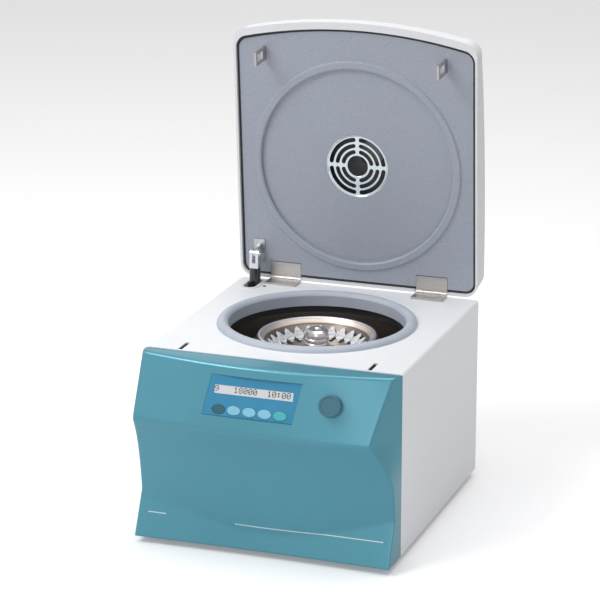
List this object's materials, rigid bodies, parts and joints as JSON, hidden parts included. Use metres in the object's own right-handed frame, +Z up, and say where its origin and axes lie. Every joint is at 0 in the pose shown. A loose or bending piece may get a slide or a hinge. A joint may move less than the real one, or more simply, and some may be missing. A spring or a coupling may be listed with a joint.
{
  "type": "microcentrifuge",
  "caption": "Bench microcentrifuge with a hinged lid, gas spring, motor lid lock, angle rotor on a lift-off spindle seat and a sloping control face.",
  "frame": {"origin": "on the bench, under the spindle axis", "axes": "+X to the right seen from the front, +Y to the back, +Z up along the spindle"},
  "size_m": [0.33, 0.4316, 0.5982],
  "materials": {
    "white_paint": "satin paint",
    "teal_moulding": "satin metallic teal",
    "overlay_blue": "satin printed foil",
    "display_face": "clear window over a pale display",
    "circuit_board": "green board",
    "key_dark": "dark teal",
    "key_light": "light blue",
    "key_green": "turquoise",
    "knob_teal": "satin teal",
    "sheet_steel": "zinc plated",
    "stainless": "spun stainless",
    "gasket_grey": "soft grey rubber",
    "seal_black": "black rubber",
    "foot_rubber": "black rubber",
    "rotor_aluminium": "hard anodised",
    "tube_plastic": "translucent natural",
    "nut_aluminium": "turned",
    "liner_grey": "matt grey",
    "lid_white": "satin moulded",
    "grille_chrome": "bright",
    "black_plastic": "matt black",
    "spring_black": "gloss black",
    "zinc": "bright zinc",
    "hinge_steel": "brushed",
    "core_steel": "lacquered laminations"
  },
  "bodies": {
    "body": {"base_plate": "sheet_steel", "feet": "foot_rubber", "housing_cover": "white_paint", "rear_panel": "white_paint", "front_panel": "teal_moulding", "control_overlay": "overlay_blue", "display": "display_face", "control_board": "circuit_board", "knob_encoder": "black_plastic", "chamber_gasket": "gasket_grey", "bowl_seal": "seal_black", "bowl": "stainless", "guard_ring": "sheet_steel", "chassis": "sheet_steel", "motor_housing": "rotor_aluminium", "motor_stator": "core_steel", "motor_bearings": "hinge_steel", "motor_buffers": "foot_rubber", "shaft_seal": "seal_black", "hinge_leaf_body_left": "hinge_steel", "hinge_leaf_body_right": "hinge_steel", "hinge_pins": "hinge_steel", "slot_bezel": "lid_white", "spring_foot_bracket": "sheet_steel", "lock_motor": "black_plastic", "lock_motor_bracket": "sheet_steel", "lock_bracket_left": "sheet_steel", "lock_bracket_right": "sheet_steel", "power_inlet": "black_plastic", "inverter_board": "circuit_board", "heat_sink": "rotor_aluminium"},
    "lid": {"lid_shell": "lid_white", "lid_liner": "liner_grey", "lid_seal": "seal_black", "vent_grille": "grille_chrome", "air_baffle": "black_plastic", "strikers": "hinge_steel", "hinge_leaf_lid_left": "hinge_steel", "hinge_leaf_lid_right": "hinge_steel", "spring_lid_bracket": "sheet_steel", "spring_pin": "zinc"},
    "spring_cylinder": {"spring_tube": "spring_black", "spring_fork": "zinc"},
    "spring_plunger": {"spring_rod": "zinc"},
    "spindle": {"motor_shaft": "hinge_steel", "motor_rotor": "core_steel"},
    "rotor_head": {"rotor": "rotor_aluminium", "microtubes": "tube_plastic"},
    "nut": {"rotor_nut": "nut_aluminium"},
    "key_a": {"key_1": "key_dark"},
    "key_b": {"key_2": "key_light"},
    "key_c": {"key_3": "key_light"},
    "key_d": {"key_4": "key_light"},
    "key_e": {"key_5": "key_green"},
    "dial": {"knob": "knob_teal"},
    "switch": {"power_switch": "black_plastic"},
    "bolt_bar": {"lock_bar": "hinge_steel"},
    "bolt_drive": {"lock_pinion": "hinge_steel"}
  },
  "joints": [
    {"name": "lid_hinge", "type": "hinge", "parent": "body", "child": "lid", "pos_m": [0, 0.163, 0.2433], "axis": [-1, 0, 0], "range_deg": [-86, 0], "stiffness_Nm_per_rad": 2, "springref_deg": 11.46},
    {"name": "spring_swing", "type": "hinge", "parent": "lid", "child": "spring_cylinder", "pos_m": [-0.137, 0.14346, 0.27902], "axis": [-1, 0, 0], "range_deg": [0, 81.55]},
    {"name": "spring_stroke", "type": "slide", "parent": "spring_cylinder", "child": "spring_plunger", "axis": [0, 0.0679, 0.9977], "range_m": [0, 0.05344]},
    {"name": "spindle_spin", "type": "hinge", "parent": "body", "child": "spindle", "pos_m": [0, 0, 0.118], "axis": [0, 0, 1], "continuous": true},
    {"name": "rotor_lift", "type": "slide", "parent": "spindle", "child": "rotor_head", "axis": [0, 0, 1], "range_m": [0, 0.09]},
    {"name": "nut_turn", "type": "hinge", "parent": "rotor_head", "child": "nut", "pos_m": [0, 0, 0.21], "axis": [0, 0, 1], "continuous": true},
    {"name": "key_a_press", "type": "slide", "parent": "body", "child": "key_a", "axis": [0, 0.9367, -0.3502], "range_m": [0, 0.0008], "stiffness_N_per_m": 400, "springref_m": -0.0005},
    {"name": "key_b_press", "type": "slide", "parent": "body", "child": "key_b", "axis": [0, 0.9367, -0.3502], "range_m": [0, 0.0008], "stiffness_N_per_m": 400, "springref_m": -0.0005},
    {"name": "key_c_press", "type": "slide", "parent": "body", "child": "key_c", "axis": [0, 0.9367, -0.3502], "range_m": [0, 0.0008], "stiffness_N_per_m": 400, "springref_m": -0.0005},
    {"name": "key_d_press", "type": "slide", "parent": "body", "child": "key_d", "axis": [0, 0.9367, -0.3502], "range_m": [0, 0.0008], "stiffness_N_per_m": 400, "springref_m": -0.0005},
    {"name": "key_e_press", "type": "slide", "parent": "body", "child": "key_e", "axis": [0, 0.9367, -0.3502], "range_m": [0, 0.0008], "stiffness_N_per_m": 400, "springref_m": -0.0005},
    {"name": "dial_turn", "type": "hinge", "parent": "body", "child": "dial", "pos_m": [0.09, -0.20392, 0.205], "axis": [0.1117, -0.9239, 0.366], "continuous": true},
    {"name": "switch_rock", "type": "hinge", "parent": "body", "child": "switch", "pos_m": [0.118, 0.1595, 0.064], "axis": [-1, 0, 0], "range_deg": [0, 18]},
    {"name": "bolt_slide", "type": "slide", "parent": "body", "child": "bolt_bar", "axis": [1, 0, 0], "range_m": [0, 0.009]},
    {"name": "pinion_turn", "type": "hinge", "parent": "body", "child": "bolt_drive", "pos_m": [0.04, -0.133, 0.20975], "axis": [0, 1, 0], "range_deg": [0, 74.87]}
  ],
  "couplings": [
    {"joint": "spring_swing", "follows": "lid_hinge", "ratio": -0.94705},
    {"joint": "spring_stroke", "follows": "lid_hinge", "m_per_rad": -0.035469},
    {"joint": "pinion_turn", "follows": "bolt_slide", "rad_per_m": 142.86}
  ]
}
